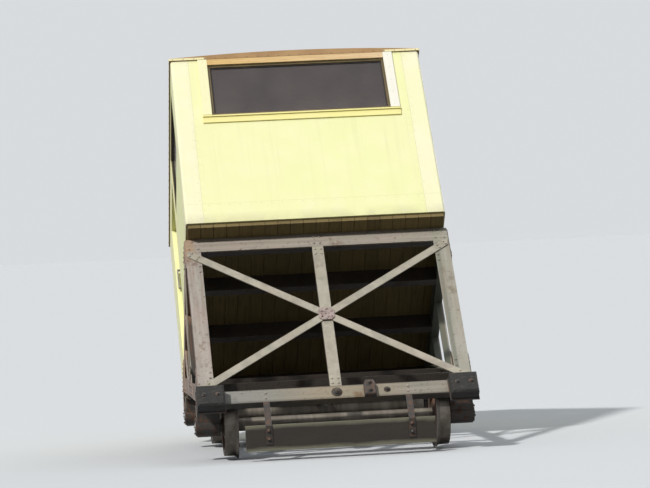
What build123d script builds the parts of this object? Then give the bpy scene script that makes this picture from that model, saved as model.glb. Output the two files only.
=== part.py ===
import math
import os

from build123d import *

# A funicular car: a level cabin on a wedge-shaped frame that fits its sloping track.
# All sizes are in millimetres. X runs across the track, Y uphill and level, Z up.
# The drawing frame has Y 0 at the outer face of the downhill wall and Z 0 at the foot of the walls.
# At the end everything moves so that the centre of the rope eye is the origin.

# The track
slope_deg = 42.0

# The cabin
cabin_width = 2550.0
cabin_length = 2800.0
cabin_height = 2250.0
wall = 50.0
corner_face = 180.0
corner_return = 170.0
corner_round = 24.0
roof_edge = 28.0
roof_camber = 55.0
roof_lip = 14.0
batten_height = 14.0
batten_width = 36.0
battens = 3

# The end windows and the strips round them
window_jamb = 190.0
end_window_height = 710.0
header = 80.0
sash = 26.0
sash_inset = 6.0
pane = 6.0
strip_width = 95.0
strip_thick = 12.0
sill_height = 110.0
sill_nose = 24.0

# The side windows, the doorways and the doors
side_window_height = 870.0
side_window_post = 160.0
middle_post = 120.0
doorway_width = 760.0
doorway_post = 370.0
doorway_header = 270.0
door_gap = 7.0
door_thick = 36.0
door_travel = 690.0
door_lap = 40.0
door_foot = 14.0
door_stile = 110.0
door_panel_depth = 12.0
door_glass_height = 640.0
door_glass_header = 200.0
door_mid_rail = 560.0
hanger_width = 60.0
roller_radius = 25.0
roller_gap = 0.3
rail_bar = 30.0
rail_thick = 10.0
rail_stand = 18.0
guide_height = 70.0
guide_length = 45.0
handle_height = 260.0
handle_inset = 40.0
handle_reach = 42.0

# The floor and the benches
deck_thick = 45.0
plank_count = 20
plank_gap = 4.0
deck_inset = 20.0
bench_height = 458.0
bench_depth = 380.0
bench_gap = 65.0
slat_thick = 28.0
slat_width = 118.0
slat_gap = 12.0

# The wedge frame, of rolled channels and flat bars
frame_margin = 15.0
frame_setback = 180.0
nose_inset = 495.0
foot_drop = 16.0
plate = 10.0
flange = 70.0
beam_depth = 170.0
beam_corner = 60.0
foot_depth = 150.0
post_width = 150.0
post_ear = 90.0
upright_width = 110.0
upright_flange = 50.0
brace_width = 78.0
brace_end = 60.0
brace_gap = 2.0
brace_cover = 75.0
chord_depth = 150.0
strut_width = 90.0
strut_flange = 60.0
strut_insets = (1200.0, 660.0)
gusset = 8.0
low_floor_beams_at = (760.0, 1480.0)
tail_inset = 80.0
tail_depth = 120.0
member_gap = 20.0
member_inset = 1114.0

# The wheelsets and their axle boxes
wheel_inset = 290.0
wheel_gap = 14.0
high_axle_inset = 514.0
tread_radius = 290.0
flange_height = 30.0
wheel_width = 130.0
wheel_flange_width = 32.0
rim_depth = 55.0
web_thick = 28.0
hub_radius = 105.0
hub_proud = 10.0
axle_radius = 62.0
journal_radius = 50.0
journal_play = 0.05
hub_gap = 20.0
box_proud = 20.0
box_rise = 223.0
box_length = 250.0
box_cap = 18.0
barrel_radius = 100.0
barrel_gap = 8.0
pad_thick = 30.0
cover_radius = 92.0
cover_thick = 14.0

# The rope gear
eye_inset = 94.0
eye_lift = 140.0
eye_radius = 30.0
eye_boss = 75.0
lug_thick = 60.0
draw_overrun = 80.0
draw_thick = 16.0
draw_depth = 110.0

# The fittings at the foot of the frame
guard_at = 530.0
guard_width = 1780.0
guard_foot = 60.0
guard_height = 240.0
guard_flange = 50.0
strap_at = 640.0
strap_width = 60.0
strap_thick = 10.0
buffer_inset = 100.0
buffer_width = 260.0
buffer_drop = 100.0
buffer_depth = 110.0
buffer_bevel = 18.0
buffer_back = 20.0
bracket_at = 310.0
bracket_width = 110.0
bracket_depth = 60.0

# Levels and half widths that follow from the sizes
slope = math.radians(slope_deg)
half_cabin = cabin_width / 2
half_frame = half_cabin + frame_margin
side_in = half_cabin - wall
floor_level = -deck_thick
face_y0 = frame_setback
face_y1 = frame_setback + plate
frame_top = floor_level
beam_foot = frame_top - beam_depth
tail_end = cabin_length - tail_inset
chord_lift = tread_radius + box_rise
chord_top = chord_lift + chord_depth
inner_x = half_frame - plate - flange
panel_half = half_cabin - corner_face
half_window = panel_half - window_jamb
window_top = cabin_height - header
window_foot = window_top - end_window_height
side_sill = window_top - side_window_height
doorway_to = cabin_length - corner_return - doorway_post
doorway_from = doorway_to - doorway_width
doorway_height = cabin_height - doorway_header
side_window_from = corner_return + side_window_post
side_window_to = doorway_from - middle_post
bench_reach = side_in - bench_gap
half_gauge = half_frame - wheel_inset
flange_radius = tread_radius + flange_height

# The sloping chord meets the foot of the level one at the nose, and that sets the rails' level.
nose_y = cabin_length - nose_inset
rail_drop = nose_y * math.tan(slope) + chord_lift / math.cos(slope) - beam_foot


def on_slope(s, n):
    """The point (y, z) at s along the rails and n square to them."""
    return (
        s * math.cos(slope) - n * math.sin(slope),
        s * math.sin(slope) + n * math.cos(slope) - rail_drop,
    )


def level_of(n, y):
    """The height at y of the line that runs n above the rails."""
    return y * math.tan(slope) + n / math.cos(slope) - rail_drop


def along(y, n):
    """How far along the rails the point n above them at y lies."""
    return (y + n * math.sin(slope)) / math.cos(slope)


# The foot of the downhill face, and the places along the rails
foot_level = level_of(chord_lift, face_y1) - foot_drop
post_foot = foot_level + foot_depth
nose_at = along(nose_y, chord_lift)
low_axle_at = along(face_y1 + flange + wheel_gap + flange_radius, tread_radius)
high_axle_at = nose_at - high_axle_inset
eye_at = nose_at - eye_inset
members_at = (low_axle_at + flange_radius + member_gap, nose_at - member_inset)
struts_at = [nose_y - inset for inset in strut_insets]


def block(x0, x1, y0, y1, z0, z1):
    """A box between six planes."""
    return Pos(x0, y0, z0) * Box(x1 - x0, y1 - y0, z1 - z0, align=Align.MIN)


def side_plate(points, x0, x1):
    """A plate with its outline in the YZ plane, from x0 to x1."""
    face = Plane.YZ.offset(x0) * Polygon(*points, align=None)
    return extrude(face, amount=x1 - x0, dir=(1, 0, 0))


def end_plate(points, y0, y1):
    """A plate with its outline in the XZ plane, from y0 to y1."""
    face = Plane((0, y0, 0), x_dir=(1, 0, 0), z_dir=(0, -1, 0)) * Polygon(*points, align=None)
    return extrude(face, amount=y1 - y0, dir=(0, 1, 0))


def slope_block(s0, s1, n0, n1, x0, x1):
    """A box that lies along the rails."""
    corners = [on_slope(s0, n0), on_slope(s1, n0), on_slope(s1, n1), on_slope(s0, n1)]
    return side_plate(corners, x0, x1)


def cross_channel(x, y, web, z0, z1):
    """A channel across the car with its web downhill and its flanges uphill."""
    piece = block(-web, web, y, y + plate, z0, z1)
    for z in (z0, z1 - plate):
        piece += block(-x, x, y + plate, y + plate + flange, z, z + plate)
    return piece


def mirrored(shape):
    """The same shape on the other side of the car."""
    return mirror(shape, about=Plane.YZ)


def both(shape):
    """A shape and its mirror image."""
    return [shape, mirrored(shape)]


def solids_of(*shapes):
    """All the solids of the shapes, in a list."""
    found = []
    for shape in shapes:
        if isinstance(shape, (list, tuple)):
            found += solids_of(*shape)
        else:
            found += list(shape.solids())
    return found


parts = {}

# The floor planks lie along the car.
plank_pitch = (cabin_width - 2 * deck_inset + plank_gap) / plank_count
deck_x = -half_cabin + deck_inset
parts["floor_planks"] = [
    block(
        deck_x + k * plank_pitch, deck_x + (k + 1) * plank_pitch - plank_gap,
        deck_inset, cabin_length - deck_inset, floor_level, 0,
    )
    for k in range(plank_count)
]

# The end walls. Each row has the name, the outer face and the way in.
strips = []
sills = []
headers = []
for name, face_y, way in (("end_wall_low", 0, 1), ("end_wall_high", cabin_length, -1)):
    y0, y1 = sorted((face_y, face_y + way * wall))
    panel = block(-panel_half, panel_half, y0, y1, 0, cabin_height)
    panel -= block(-half_window, half_window, y0 - 1, y1 + 1, window_foot, window_top)
    parts[name] = [panel]
    # Cover strips stand on the outer face: a sill with a sloping top, two jambs and a header.
    y0, y1 = sorted((face_y, face_y - way * strip_thick))
    jamb = block(half_window, half_window + strip_width, y0, y1, window_foot, cabin_height)
    strips += both(jamb)
    headers.append(block(-half_window, half_window, y0, y1, window_top, cabin_height))
    nose = face_y - way * sill_nose
    sill_outline = [
        (face_y, window_foot),
        (nose, window_foot - (sill_nose - strip_thick) / 2 - strip_thick),
        (nose, window_foot - sill_nose - strip_thick),
        (face_y - way * strip_thick, window_foot - sill_nose - strip_thick),
        (face_y - way * strip_thick, window_foot - sill_height),
        (face_y, window_foot - sill_height),
    ]
    sills.append(side_plate(sill_outline, -half_window - strip_width, half_window + strip_width))
parts["jamb_strips"] = strips
parts["header_strips"] = headers
parts["window_sills"] = sills

# The four corner panels are folded round the corners.
corners = []
for face_y, way in ((0, 1), (cabin_length, -1)):
    a, b = sorted((face_y, face_y + way * wall))
    c, d = sorted((face_y, face_y + way * corner_return))
    fold = block(panel_half, half_cabin, a, b, 0, cabin_height)
    fold += block(side_in, half_cabin, c, d, 0, cabin_height)
    edge = fold.edges().filter_by(Axis.Z).sort_by_distance((half_cabin, face_y, cabin_height / 2))[0]
    corners += both(fillet(edge, corner_round))
parts["corner_panels"] = corners

# The side walls, each with a window and a doorway
side = block(side_in, half_cabin, corner_return, cabin_length - corner_return, 0, cabin_height)
side -= block(
    side_in - 1, half_cabin + 1, side_window_from, side_window_to, side_sill, window_top
)
side -= block(side_in - 1, half_cabin + 1, doorway_from, doorway_to, -1, doorway_height)
parts["side_wall_right"] = [side]
parts["side_wall_left"] = [mirrored(side)]

# The roof has a flat ceiling and a low camber, with battens over the seams of its sheets.
edge_z = cabin_height + roof_edge
eave = half_cabin + roof_lip


def roof_slab(lift, drop, y0, y1):
    """A strip of roof with its top raised by lift and its flat foot at drop."""
    crown = ThreePointArc(
        (eave, edge_z + lift), (0, edge_z + roof_camber + lift), (-eave, edge_z + lift)
    )
    outline = Polyline((-eave, edge_z + lift), (-eave, drop), (eave, drop), (eave, edge_z + lift))
    plane = Plane((0, y0, 0), x_dir=(1, 0, 0), z_dir=(0, -1, 0))
    return extrude(plane * make_face([crown, outline]), amount=y1 - y0, dir=(0, 1, 0))


roof = roof_slab(0, cabin_height, -roof_lip, cabin_length + roof_lip)
parts["roof"] = [roof]
roof_battens = []
for k in range(battens):
    y = cabin_length * (k + 1) / (battens + 1)
    strip = roof_slab(batten_height, edge_z - 1, y - batten_width / 2, y + batten_width / 2)
    roof_battens.append(strip - roof)
parts["roof_battens"] = roof_battens


def glazing(x0, x1, y0, y1, z0, z1):
    """A sash that lines an opening in a wall, and the pane inside it."""
    if x1 - x0 > y1 - y0:
        mid = (y0 + y1) / 2
        hole = block(x0 + sash, x1 - sash, y0 - 1, y1 + 1, z0 + sash, z1 - sash)
        glass = hole & block(x0, x1, mid - pane / 2, mid + pane / 2, z0, z1)
    else:
        mid = (x0 + x1) / 2
        hole = block(x0 - 1, x1 + 1, y0 + sash, y1 - sash, z0 + sash, z1 - sash)
        glass = hole & block(mid - pane / 2, mid + pane / 2, y0, y1, z0, z1)
    return block(x0, x1, y0, y1, z0, z1) - hole, glass


sashes = []
panes = []
for y0 in (0, cabin_length - wall):
    ring, glass = glazing(
        -half_window, half_window, y0 + sash_inset, y0 + wall - sash_inset,
        window_foot, window_top,
    )
    sashes.append(ring)
    panes.append(glass)
ring, glass = glazing(
    side_in + sash_inset, half_cabin - sash_inset, side_window_from, side_window_to,
    side_sill, window_top,
)
sashes += both(ring)
panes += both(glass)
parts["window_sashes"] = sashes
parts["window_panes"] = panes

# The sliding doors hang inside the walls and slide downhill, so the sides stay smooth outside.
door_x1 = side_in - door_gap
door_x0 = door_x1 - door_thick
door_y0 = doorway_from - door_lap
door_y1 = doorway_to + door_lap
door_top = doorway_height + door_lap
glass_y0 = door_y0 + door_stile
glass_y1 = door_y1 - door_stile
glass_top = door_top - door_glass_header
door_glass_foot = glass_top - door_glass_height
leaf = block(door_x0, door_x1, door_y0, door_y1, door_foot, door_top)
leaf -= block(door_x0 - 1, door_x1 + 1, glass_y0, glass_y1, door_glass_foot, glass_top)
for z0, z1 in (
    (door_foot + door_stile, door_mid_rail),
    (door_mid_rail + door_stile / 2, door_glass_foot - door_stile),
):
    leaf -= block(door_x1 - door_panel_depth, door_x1 + 1, glass_y0, glass_y1, z0, z1)
door_mid = (door_x0 + door_x1) / 2
door_glass = block(
    door_mid - pane / 2, door_mid + pane / 2, glass_y0, glass_y1, door_glass_foot, glass_top
)

rail_x1 = side_in - rail_stand
rail_x0 = rail_x1 - rail_thick
rail_z0 = door_top + 40
rail_z1 = rail_z0 + rail_bar
rail_y0 = door_y0 - door_travel - 20
rail = block(rail_x0, rail_x1, rail_y0, door_y1, rail_z0, rail_z1)
for y in (rail_y0 + 40, door_y0 - 380, door_y0 + 260, door_y1 - 60):
    rail += block(rail_x1, side_in, y, y + 30, rail_z0, rail_z1)

# A guide on the floor at the doorway's downhill edge keeps the foot of the leaf by the wall.
guide_x1 = door_x0 - door_gap
foot_guide = block(
    guide_x1 - 8, guide_x1, door_y0 + 5, door_y0 + 5 + guide_length, 0, guide_height
)
foot_guide += block(guide_x1 - 38, guide_x1 - 8, door_y0 + 5, door_y0 + 5 + guide_length, 0, 6)

hangers = []
for y in (door_y0 + 140, door_y1 - 140):
    strap = block(
        door_x0 - 8, door_x0, y - hanger_width / 2, y + hanger_width / 2,
        door_top - 160, rail_z1 + 70,
    )
    roller = Pos(door_x0, y, rail_z1 + roller_gap + roller_radius) * Rot(0, 90, 0)
    roller = roller * Cylinder(
        roller_radius, rail_x1 + 2 - door_x0, align=(Align.CENTER, Align.CENTER, Align.MIN)
    )
    hangers.append(strap + roller)
handle_y = doorway_to - handle_inset
handle_z0 = door_glass_foot - 60
handle_z1 = handle_z0 + handle_height
handle = end_plate(
    [
        (door_x1, handle_z0),
        (door_x1 + handle_reach - 10, handle_z0),
        (door_x1 + handle_reach, handle_z0 + 10),
        (door_x1 + handle_reach, handle_z1 - 10),
        (door_x1 + handle_reach - 10, handle_z1),
        (door_x1, handle_z1),
        (door_x1, handle_z1 - 12),
        (door_x1 + handle_reach - 14, handle_z1 - 12),
        (door_x1 + handle_reach - 12, handle_z1 - 14),
        (door_x1 + handle_reach - 12, handle_z0 + 14),
        (door_x1 + handle_reach - 14, handle_z0 + 12),
        (door_x1, handle_z0 + 12),
    ],
    handle_y - 12,
    handle_y + 12,
)
for name, flip in (("right", False), ("left", True)):
    turn = mirrored if flip else (lambda shape: shape)
    parts["door_" + name] = [turn(leaf)]
    parts["door_glass_" + name] = [turn(door_glass)]
    parts["door_fittings_" + name] = [turn(s) for s in (*hangers, handle)]
parts["door_rails"] = both(rail)
parts["door_guides"] = both(foot_guide)

# The benches across both ends: three seat slats, two back slats and three stands each
boards = []
stands = []
for wall_y, way in ((wall, 1), (cabin_length - wall, -1)):
    for k in range(3):
        a = wall_y + way * (20 + k * (slat_width + slat_gap))
        y0, y1 = sorted((a, a + way * slat_width))
        boards.append(
            block(-bench_reach, bench_reach, y0, y1, bench_height - slat_thick, bench_height)
        )
    for z in (620, 780):
        y0, y1 = sorted((wall_y, wall_y + way * slat_thick))
        boards.append(block(-bench_reach, bench_reach, y0, y1, z, z + slat_width))
    for x in (-bench_reach + 80, 0, bench_reach - 80):
        far = wall_y + way * bench_depth
        near = wall_y + way * 30
        stand = side_plate(
            [
                (near, 0),
                (far - way * 70, 0),
                (far, bench_height - slat_thick),
                (near, bench_height - slat_thick),
            ],
            x - 20,
            x + 20,
        )
        stands.append(stand)
parts["bench_boards"] = boards
parts["bench_stands"] = stands

# The downhill face of the wedge frame
top_beam = cross_channel(inner_x, face_y0, half_frame, beam_foot, frame_top)
for side_x in (-half_frame, half_frame):
    edge = top_beam.edges().filter_by(Axis.Y).sort_by_distance((side_x, face_y0, frame_top))[0]
    top_beam = fillet(edge, beam_corner)
parts["top_beam"] = [top_beam]
parts["foot_beam"] = [cross_channel(inner_x, face_y0, half_frame, foot_level, post_foot)]

post = block(half_frame - post_width, half_frame, face_y0, face_y1, post_foot, beam_foot)
post += side_plate(
    [
        (face_y1, beam_foot),
        (face_y1 + post_ear, beam_foot),
        (face_y1 + post_ear, level_of(chord_top, face_y1 + post_ear)),
        (face_y1, level_of(chord_top, face_y1)),
    ],
    half_frame - plate,
    half_frame,
)
parts["end_posts"] = both(post)

half_up = upright_width / 2
upright = block(-half_up, half_up, face_y0, face_y1, post_foot, beam_foot)
for x in (-half_up, half_up - plate):
    upright += block(x, x + plate, face_y1, face_y1 + upright_flange, post_foot, beam_foot)
parts["end_upright"] = [upright]

# The X brace lies on the front of the posts. One bar runs through, the other is in two
# lengths, and a cover plate with cut corners ties them at the crossing.
brace_x = half_frame - post_width / 2
brace_top = beam_foot - brace_end
brace_foot = post_foot + brace_end
cross_z = (brace_top + brace_foot) / 2
lean = math.degrees(math.atan2(brace_top - brace_foot, 2 * brace_x))


def brace_bar(gap):
    """A bar across the whole face with a gap round it, before it is trimmed to the posts."""
    place = Pos(0, face_y0 - plate / 2, cross_z) * Rot(0, lean, 0)
    return place * Box(3 * half_frame, plate + 2 * gap, brace_width + 2 * gap)


trim = block(
    12 - half_frame, half_frame - 12, face_y0 - plate, face_y0, post_foot + 4, beam_foot - 4
)
falling = brace_bar(0) & trim
rising = (mirrored(brace_bar(0)) & trim) - brace_bar(brace_gap)
parts["end_braces"] = [falling, rising]
cut = brace_cover * 0.4
parts["brace_plate"] = [
    end_plate(
        [
            (-brace_cover + cut, cross_z - brace_cover), (brace_cover - cut, cross_z - brace_cover),
            (brace_cover, cross_z - brace_cover + cut), (brace_cover, cross_z + brace_cover - cut),
            (brace_cover - cut, cross_z + brace_cover), (-brace_cover + cut, cross_z + brace_cover),
            (-brace_cover, cross_z + brace_cover - cut), (-brace_cover, cross_z - brace_cover + cut),
        ],
        face_y0 - 2 * plate,
        face_y0 - plate,
    )
]

# The side frames: a level chord, a sloping chord and the struts between them
web_x = half_frame - plate
top_chord = block(web_x, half_frame, face_y1, tail_end, beam_foot, frame_top)
for z in (beam_foot, frame_top - plate):
    top_chord += block(inner_x, web_x, face_y1, tail_end, z, z + plate)
parts["top_chords"] = both(top_chord)

s_far = 2 * cabin_length
chord = slope_block(0, s_far, chord_lift, chord_top, web_x, half_frame)
for n in (chord_lift, chord_top - plate):
    chord += slope_block(0, s_far, n, n + plate, inner_x, web_x)
chord &= block(0, half_frame, face_y1, tail_end, foot_level - 100, beam_foot)
parts["slope_chords"] = both(chord)


def strut_piece(y, width, x0, x1):
    """An upright plate from the sloping chord to the level one."""
    outline = [
        (y, beam_foot),
        (y + width, beam_foot),
        (y + width, level_of(chord_top, y + width)),
        (y, level_of(chord_top, y)),
    ]
    return side_plate(outline, x0, x1)


struts = []
for y in struts_at:
    strut = strut_piece(y, strut_width, web_x, half_frame)
    strut += strut_piece(y, plate, web_x - strut_flange, web_x)
    struts += both(strut)
parts["side_struts"] = struts

# Gusset plates on the outside of the side frames
far_y = face_y1 + 300
strut_y = struts_at[0]
gusset_outlines = {
    "post foot": [
        (face_y1, level_of(chord_lift, face_y1)),
        (far_y, level_of(chord_lift, far_y)),
        (far_y, level_of(chord_top, far_y)),
        (face_y1 + post_ear, level_of(chord_top, face_y1 + post_ear) + 170),
        (face_y1, level_of(chord_top, face_y1 + post_ear) + 170),
    ],
    "post head": [
        (face_y1, frame_top - 20),
        (far_y, frame_top - 20),
        (far_y, beam_foot),
        (face_y1 + post_ear, beam_foot - 190),
        (face_y1, beam_foot - 190),
    ],
    "strut foot": [
        (strut_y - 120, level_of(chord_lift + 20, strut_y - 120)),
        (strut_y + 210, level_of(chord_lift + 20, strut_y + 210)),
        (strut_y + 210, level_of(chord_top, strut_y + 210)),
        (strut_y + strut_width, level_of(chord_top, strut_y + strut_width) + 150),
        (strut_y, level_of(chord_top, strut_y + strut_width) + 150),
        (strut_y - 120, level_of(chord_top, strut_y - 120) + 90),
    ],
    "nose": [
        (nose_y - 330, frame_top - 20),
        (nose_y + 170, frame_top - 20),
        (nose_y + 170, beam_foot),
        (nose_y, beam_foot),
        (nose_y - 330, level_of(chord_lift, nose_y - 330)),
    ],
}
parts["side_gussets"] = [
    both(side_plate(points, half_frame, half_frame + gusset)) for points in gusset_outlines.values()
]

# A falling diagonal lies on the gussets of each side frame.
brace_y0 = face_y1 + post_ear / 2
brace_z0 = beam_foot - 100
brace_y1 = strut_y - 40
brace_z1 = level_of(chord_top, brace_y1) + 60
fall = math.atan2(brace_z1 - brace_z0, brace_y1 - brace_y0)
across_y = brace_width / 2 * math.sin(fall)
across_z = brace_width / 2 * math.cos(fall)
parts["side_braces"] = both(
    side_plate(
        [
            (brace_y0 - across_y, brace_z0 + across_z),
            (brace_y1 - across_y, brace_z1 + across_z),
            (brace_y1 + across_y, brace_z1 - across_z),
            (brace_y0 + across_y, brace_z0 - across_z),
        ],
        half_frame + gusset,
        half_frame + gusset + plate,
    )
)

# The cross beams under the floor, of which the last is over the nose, and the uphill beam
cross_beams = [
    cross_channel(inner_x, y, inner_x, beam_foot, frame_top) for y in (*low_floor_beams_at, nose_y)
]
tail = block(-half_frame, half_frame, tail_end, tail_end + plate, frame_top - tail_depth, frame_top)
tail += block(-inner_x, inner_x, tail_end - flange, tail_end, frame_top - plate, frame_top)
parts["tail_beam"] = [tail]

# The cross members between the sloping chords
for s in members_at:
    member = slope_block(s, s + plate, chord_lift, chord_top, -inner_x, inner_x)
    for n in (chord_lift, chord_top - plate):
        member += slope_block(s + plate, s + plate + flange, n, n + plate, -inner_x, inner_x)
    cross_beams.append(member)
parts["cross_beams"] = cross_beams

# The draw plates hang below the cross members and hold the lug that takes the haul rope.
draw_foot = chord_lift - draw_depth
half_lug = lug_thick / 2
draw_from = members_at[0] - draw_overrun
draw = slope_block(draw_from, eye_at + 60, draw_foot, chord_lift, half_lug, half_lug + draw_thick)
parts["draw_plates"] = both(draw)
eye_y, eye_z = on_slope(eye_at, eye_lift)
lug = side_plate(
    [
        on_slope(eye_at - 260, draw_foot),
        on_slope(eye_at - 66, eye_lift),
        on_slope(eye_at + 66, eye_lift),
        (nose_y + flange, beam_foot),
        (nose_y, beam_foot),
        on_slope(eye_at - 260, chord_lift),
    ],
    -half_lug,
    half_lug,
)
at_eye = Pos(0, eye_y, eye_z) * Rot(0, 90, 0)
lug += at_eye * Cylinder(eye_boss, lug_thick)
lug -= at_eye * Cylinder(eye_radius, lug_thick + 20)
parts["rope_lug"] = [lug]

# The wheelsets and their boxes. The boxes hang under the sloping chords on rubber pads.
box_x1 = half_frame + box_proud
box_x0 = half_gauge + wheel_width / 2 + hub_proud + hub_gap
box_width = box_x1 - box_x0
journal_end = box_x1 - 6
box_top = chord_lift - pad_thick
half = wheel_width / 2
wheel_outline = Polyline(
    (axle_radius, -half - hub_proud),
    (hub_radius, -half - hub_proud),
    (tread_radius - rim_depth, -web_thick / 2),
    (tread_radius - rim_depth, -half),
    (flange_radius, -half),
    (tread_radius + 2, -half + wheel_flange_width),
    (tread_radius - 2, half),
    (tread_radius - rim_depth, half),
    (tread_radius - rim_depth, web_thick / 2),
    (axle_radius, half + hub_proud),
    (axle_radius, -half - hub_proud),
)
wheel_shape = revolve(Plane.XZ * make_face(wheel_outline), axis=Axis.Z)
boxes = []
covers = []
pads = []
for name, s in (("low", low_axle_at), ("high", high_axle_at)):
    y, z = on_slope(s, tread_radius)
    at_axle = Pos(0, y, z) * Rot(0, 90, 0)
    # In the box's own plane u runs along the rails and v square to them.
    box_plane = Plane(
        (box_x0, y, z),
        x_dir=(0, math.cos(slope), math.sin(slope)),
        z_dir=(1, 0, 0),
    )
    top_v = box_top - tread_radius
    outline = Circle(barrel_radius)
    outline += Pos(0, top_v / 2) * Rectangle(2 * barrel_radius - 2 * barrel_gap, top_v)
    outline += Pos(0, top_v - box_cap / 2) * Rectangle(box_length, box_cap)
    housing = extrude(box_plane * outline, amount=box_width, dir=(1, 0, 0))
    housing -= Pos(box_x0 - 1, y, z) * Rot(0, 90, 0) * Cylinder(
        journal_radius + journal_play, box_width + 2, align=(Align.CENTER, Align.CENTER, Align.MIN)
    )
    boxes += both(housing)
    cover_plane = Plane((box_x1, y, z), x_dir=box_plane.x_dir, z_dir=(1, 0, 0))
    cover_outline = cover_plane * RegularPolygon(cover_radius, 8, rotation=22.5)
    covers += both(extrude(cover_outline, amount=cover_thick, dir=(1, 0, 0)))
    pad = slope_block(
        s - box_length / 2 + 15, s + box_length / 2 - 15, box_top, chord_lift, inner_x, half_frame
    )
    pads += both(pad)
    shaft = Cylinder(axle_radius, 2 * (box_x0 - 8)) + Cylinder(journal_radius, 2 * journal_end)
    parts["axle_" + name] = [at_axle * shaft]
    parts["wheels_" + name] = both(Pos(half_gauge, 0, 0) * at_axle * wheel_shape)
parts["axle_boxes"] = boxes
parts["box_covers"] = covers
parts["box_pads"] = pads

# The guard plate before the lower wheels, on two straps from the foot beam
guard_top = guard_foot + guard_height
half_guard = guard_width / 2
guard = slope_block(guard_at, guard_at + plate, guard_foot, guard_top, -half_guard, half_guard)
for n in (guard_foot, guard_top - plate):
    guard += slope_block(
        guard_at + plate, guard_at + plate + guard_flange, n, n + plate, -half_guard, half_guard
    )
parts["guard_plate"] = [guard]
strap = side_plate(
    [
        on_slope(guard_at, guard_foot + 60),
        on_slope(guard_at, guard_top),
        (face_y1, foot_level),
        (face_y1 - 1.4 * strap_thick, foot_level),
        on_slope(guard_at - strap_thick, guard_top - 4),
        on_slope(guard_at - strap_thick, guard_foot + 60),
    ],
    strap_at,
    strap_at + strap_width,
)
parts["guard_straps"] = both(strap)

# Rubber buffer blocks on steel backs, on the ends of the foot beam
buffer_at = half_frame - buffer_inset
buffer_foot = foot_level - buffer_drop
buffer_x0 = buffer_at - buffer_width / 2
buffer_x1 = buffer_at + buffer_width / 2
back = block(
    buffer_x0 - 8, buffer_x1 + 8, face_y0 - buffer_back, face_y0, buffer_foot - 8, post_foot
)
rubber = block(
    buffer_x0, buffer_x1, face_y0 - buffer_back - buffer_depth, face_y0 - buffer_back,
    buffer_foot, post_foot - 8,
)
rubber = chamfer(rubber.faces().sort_by(Axis.Y)[0].edges(), buffer_bevel)
parts["buffer_backs"] = both(back)
parts["end_buffers"] = both(rubber)

# The bracket on the foot beam, to the right of the middle
bracket = end_plate(
    [
        (bracket_at - bracket_width / 2, foot_level - 12),
        (bracket_at + bracket_width / 2, foot_level - 12),
        (bracket_at + bracket_width / 2, post_foot - 30),
        (bracket_at + bracket_width / 3, post_foot + 14),
        (bracket_at - bracket_width / 3, post_foot + 14),
        (bracket_at - bracket_width / 2, post_foot - 30),
    ],
    face_y0 - bracket_depth,
    face_y0,
)
bracket = chamfer(bracket.faces().sort_by(Axis.Y)[0].edges(), 10)
parts["beam_bracket"] = [bracket]

os.makedirs("parts", exist_ok=True)
home = Pos(0, -eye_y, -eye_z)
for name, shapes in parts.items():
    solids = [home * s for s in solids_of(*shapes)]
    export_step(Compound(solids), "parts/" + name + ".step")
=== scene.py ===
# %% [markdown]
# # A funicular car
# The car has a level cabin, painted cream, on a wedge of riveted steel that fits a steep track.
# The solid model already holds every rigid part at its true size. This lesson gives those parts
# their finishes and adds the small hardware that a fitter would see: rivets, screws, bolts, nails
# and seals.

# %% Load the solid model
import math

import bmesh
import bpy
from mathutils import Matrix, Vector


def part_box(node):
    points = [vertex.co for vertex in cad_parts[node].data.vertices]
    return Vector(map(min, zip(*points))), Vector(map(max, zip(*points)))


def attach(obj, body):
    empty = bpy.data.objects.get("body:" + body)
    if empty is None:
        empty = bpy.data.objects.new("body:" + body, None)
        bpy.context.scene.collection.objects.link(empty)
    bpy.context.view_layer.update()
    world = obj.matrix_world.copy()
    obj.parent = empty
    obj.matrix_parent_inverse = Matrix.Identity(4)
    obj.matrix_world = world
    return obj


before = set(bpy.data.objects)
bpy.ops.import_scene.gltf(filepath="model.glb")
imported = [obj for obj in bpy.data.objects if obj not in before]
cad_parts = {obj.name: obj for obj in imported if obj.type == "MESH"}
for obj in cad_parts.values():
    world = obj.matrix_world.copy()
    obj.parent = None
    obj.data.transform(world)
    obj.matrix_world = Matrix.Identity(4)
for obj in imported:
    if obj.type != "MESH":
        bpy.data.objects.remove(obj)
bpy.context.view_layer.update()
scene = bpy.context.scene

# %% [markdown]
# ## The drawing frame
# A maker would set the car out from the foot of its downhill wall, so this lesson does too: X across
# the track, Y uphill and level, Z up, in metres. The model itself keeps its origin at the rope
# eye, so every place is shifted by the corner of that wall.

# %% Places on the drawing
wall_low, wall_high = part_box("end_wall_low")
HOME = Vector((0.0, wall_low.y, wall_low.z))


def corners_of(node):
    """The low and the high corner of a node's box, on the drawing."""
    low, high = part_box(node)
    return low - HOME, high - HOME


def middle_of(node):
    """The middle of a node's box, on the drawing."""
    low, high = corners_of(node)
    return (low + high) / 2


CABIN_LENGTH = corners_of("end_wall_high")[1].y
HALF_CABIN = corners_of("corner_panels")[1].x
SEAM_X = wall_high.x
HALF_FRAME = corners_of("top_beam")[1].x
FACE_Y = corners_of("top_beam")[0].y
FOOT_LOW, FOOT_TOP = [corner.z for corner in corners_of("foot_beam")]
TREAD_RADIUS = 0.290
LOW_AXLE, HIGH_AXLE = middle_of("axle_low"), middle_of("axle_high")

SLOPE = math.radians(42.0)
UPHILL = Vector((0.0, math.cos(SLOPE), math.sin(SLOPE)))
SQUARE = Vector((0.0, -math.sin(SLOPE), math.cos(SLOPE)))
RAIL_DROP = LOW_AXLE.y * math.tan(SLOPE) + TREAD_RADIUS / math.cos(SLOPE) - LOW_AXLE.z


def on_slope(along, above, x=0.0):
    """The place that lies along the track and above the tops of its rails."""
    return UPHILL * along + SQUARE * above + Vector((x, 0.0, -RAIL_DROP))


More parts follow.
